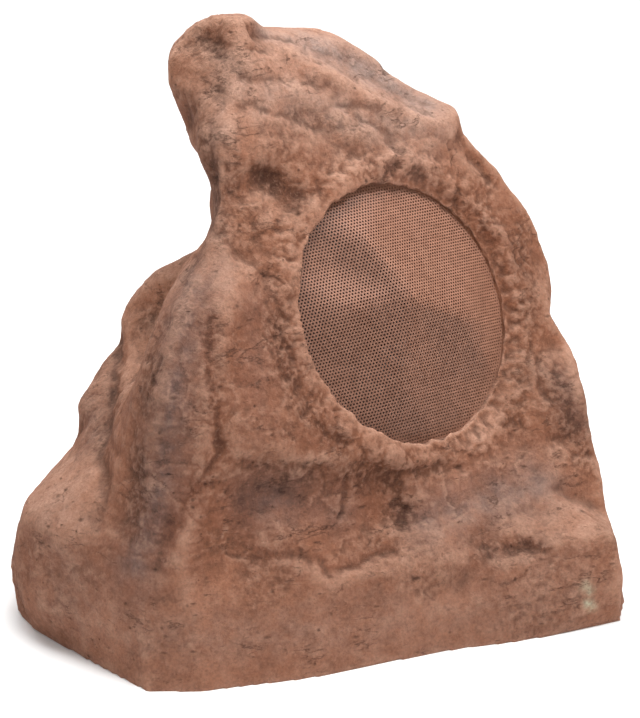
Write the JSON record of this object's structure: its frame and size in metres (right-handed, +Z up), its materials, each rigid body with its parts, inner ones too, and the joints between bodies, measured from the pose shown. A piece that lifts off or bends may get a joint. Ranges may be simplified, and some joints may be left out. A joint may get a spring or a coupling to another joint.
{
  "type": "rock shaped garden speaker",
  "caption": "Garden loudspeaker in a hollow moulded rock housing with a leaning face, a round pressed grille and a coaxial driver behind it.",
  "frame": {"origin": "on the ground under the middle of the rock's bounding box", "axes": "+Z up; the front with the grille towards -Y; +X to the right of someone facing the grille"},
  "size_m": [0.3587, 0.2684, 0.37],
  "materials": {
    "rock": "sand-textured stone-coloured paint on moulded resin",
    "grille": "matt paint sprayed with the rock",
    "foam": "closed-cell foam",
    "basket_metal": "black stove enamel",
    "surround_rubber": "butyl rubber",
    "cone": "moulded polypropylene",
    "coil_former": "bare former with enamelled winding",
    "spider_cloth": "resin-dipped cloth",
    "plated_steel": "zinc plated",
    "ferrite": "unglazed ferrite",
    "tweeter_plastic": "moulded black",
    "dome_cloth": "coated cloth",
    "screw_steel": "blackened",
    "tag_strip": "phenolic board with tinned tags",
    "base_plastic": "moulded black sheet",
    "grommet_rubber": "moulded rubber",
    "spacer_plastic": "natural nylon",
    "board": "glass-fibre laminate",
    "copper": "enamelled copper winding",
    "capacitor_sleeve": "shrunk plastic sleeve",
    "cement": "cast cement",
    "block_plastic": "moulded"
  },
  "bodies": {
    "housing": {"rock_shell": "rock", "grille": "grille", "driver_gasket": "foam", "woofer_basket": "basket_metal", "woofer_surround": "surround_rubber", "woofer_spider": "spider_cloth", "magnet_top_plate": "plated_steel", "ferrite_magnet": "ferrite", "pole_plate": "plated_steel", "tweeter_post": "tweeter_plastic", "tweeter_housing": "tweeter_plastic", "tweeter_dome": "dome_cloth", "driver_screws": "screw_steel", "driver_terminals": "tag_strip", "base_plate": "base_plastic", "base_gasket": "foam", "base_screws": "screw_steel", "cable_grommet": "grommet_rubber", "board_spacers": "spacer_plastic", "crossover_board": "board", "board_screws": "screw_steel", "crossover_coil": "copper", "crossover_capacitors": "capacitor_sleeve", "crossover_resistor": "cement", "terminal_block": "block_plastic"},
    "cone": {"woofer_cone": "cone", "voice_coil": "coil_former"}
  },
  "joints": [
    {"name": "cone_travel", "type": "slide", "parent": "housing", "child": "cone", "axis": [0.1806, -0.8955, 0.4067], "range_m": [-0.004, 0.004], "stiffness_N_per_m": 1500, "deforming": ["woofer_surround", "woofer_spider"]}
  ]
}
